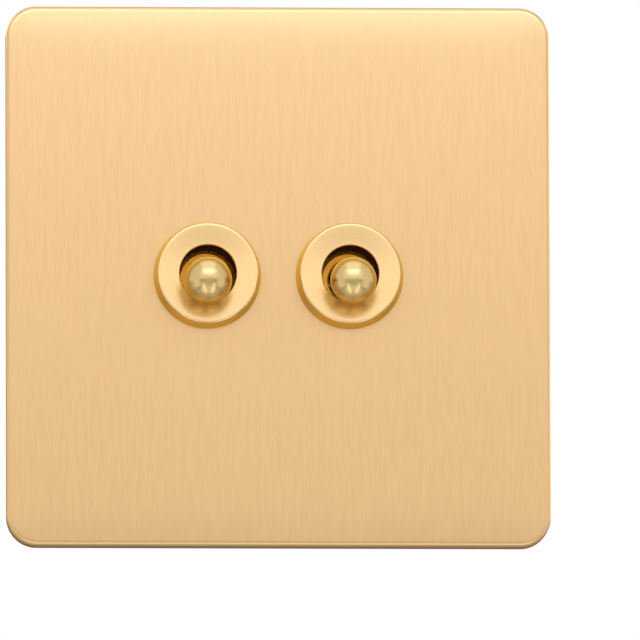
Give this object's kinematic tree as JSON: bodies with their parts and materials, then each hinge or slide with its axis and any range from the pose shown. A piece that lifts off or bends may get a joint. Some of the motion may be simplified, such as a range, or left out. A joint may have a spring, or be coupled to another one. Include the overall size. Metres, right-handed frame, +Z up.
{
  "type": "toggle light switch",
  "caption": "Square brushed brass wall switch with round bezel rings and ball-ended toggle levers, for switching room lights from a flush wall box.",
  "frame": {"origin": "middle of the plate on the wall plane, between the two fixing screws", "axes": "+X to the right seen from the front, +Y into the wall, +Z up"},
  "size_m": [0.086, 0.0477, 0.086],
  "materials": {
    "plate_brass": "satin brushed brass, fine vertical grain",
    "ring_brass": "lathe-turned satin brass",
    "lever_brass": "lathe-turned satin brass, paler",
    "bush_brass": "turned brass, gilt",
    "liner_plastic": "moulded black",
    "yoke_steel": "zinc-plated pressed steel",
    "dark_steel": "blackened steel",
    "cover_steel": "zinc-plated folded steel",
    "base_plastic": "moulded ivory",
    "terminal_brass": "plain machined brass",
    "screw_steel": "yellow passivated steel",
    "pin_steel": "bright steel",
    "plunger_plastic": "moulded natural nylon",
    "rocker_copper": "rolled copper alloy",
    "contact_silver": "silver alloy"
  },
  "bodies": {
    "switch_body": {"face_plate": "plate_brass", "plate_liner": "liner_plastic", "mounting_yoke": "yoke_steel", "earth_clamp": "terminal_brass", "earth_screw": "terminal_brass", "left_bezel_ring": "ring_brass", "left_bezel_nut": "terminal_brass", "left_bush": "bush_brass", "left_lock_washer": "dark_steel", "left_bush_nut": "dark_steel", "left_pivot_pin": "pin_steel", "left_rocker_pin": "pin_steel", "left_common_bracket": "terminal_brass", "left_fixed_contacts": "contact_silver", "left_cover": "cover_steel", "left_base": "base_plastic", "left_terminal_screws": "screw_steel", "left_upper_terminal": "terminal_brass", "left_common_terminal": "terminal_brass", "left_lower_terminal": "terminal_brass", "right_bezel_ring": "ring_brass", "right_bezel_nut": "terminal_brass", "right_bush": "bush_brass", "right_lock_washer": "dark_steel", "right_bush_nut": "dark_steel", "right_pivot_pin": "pin_steel", "right_rocker_pin": "pin_steel", "right_common_bracket": "terminal_brass", "right_fixed_contacts": "contact_silver", "right_cover": "cover_steel", "right_base": "base_plastic", "right_terminal_screws": "screw_steel", "right_upper_terminal": "terminal_brass", "right_common_terminal": "terminal_brass", "right_lower_terminal": "terminal_brass"},
    "left_toggle": {"left_lever": "lever_brass", "left_spring": "pin_steel"},
    "left_plunger_body": {"left_plunger": "plunger_plastic"},
    "left_rocker_body": {"left_rocker": "rocker_copper", "left_moving_contacts": "contact_silver"},
    "right_toggle": {"right_lever": "lever_brass", "right_spring": "pin_steel"},
    "right_plunger_body": {"right_plunger": "plunger_plastic"},
    "right_rocker_body": {"right_rocker": "rocker_copper", "right_moving_contacts": "contact_silver"}
  },
  "joints": [
    {"name": "left_lever_tilt", "type": "hinge", "parent": "switch_body", "child": "left_toggle", "pos_m": [-0.01125, 0.0075, 0], "axis": [-1, 0, 0], "range_deg": [0, 10.6]},
    {"name": "left_plunger_slide", "type": "slide", "parent": "left_toggle", "child": "left_plunger_body", "axis": [-0.0104, -0.9957, -0.0924], "range_m": [0, 0.0008], "stiffness_N_per_m": 800, "springref_m": -0.0015, "deforming": ["left_spring"]},
    {"name": "left_rocker_tilt", "type": "hinge", "parent": "switch_body", "child": "left_rocker_body", "pos_m": [-0.01125, 0.02005, 0], "axis": [1, 0, 0], "range_deg": [0, 14]},
    {"name": "right_lever_tilt", "type": "hinge", "parent": "switch_body", "child": "right_toggle", "pos_m": [0.01125, 0.0075, 0], "axis": [-1, 0, 0], "range_deg": [0, 10.6]},
    {"name": "right_plunger_slide", "type": "slide", "parent": "right_toggle", "child": "right_plunger_body", "axis": [0.0104, -0.9957, -0.0924], "range_m": [0, 0.0008], "stiffness_N_per_m": 800, "springref_m": -0.0015, "deforming": ["right_spring"]},
    {"name": "right_rocker_tilt", "type": "hinge", "parent": "switch_body", "child": "right_rocker_body", "pos_m": [0.01125, 0.02005, 0], "axis": [1, 0, 0], "range_deg": [0, 14]}
  ],
  "couplings": [
    {"joint": "left_rocker_tilt", "follows": "left_lever_tilt", "ratio": 1.3207},
    {"joint": "right_rocker_tilt", "follows": "right_lever_tilt", "ratio": 1.3207}
  ]
}
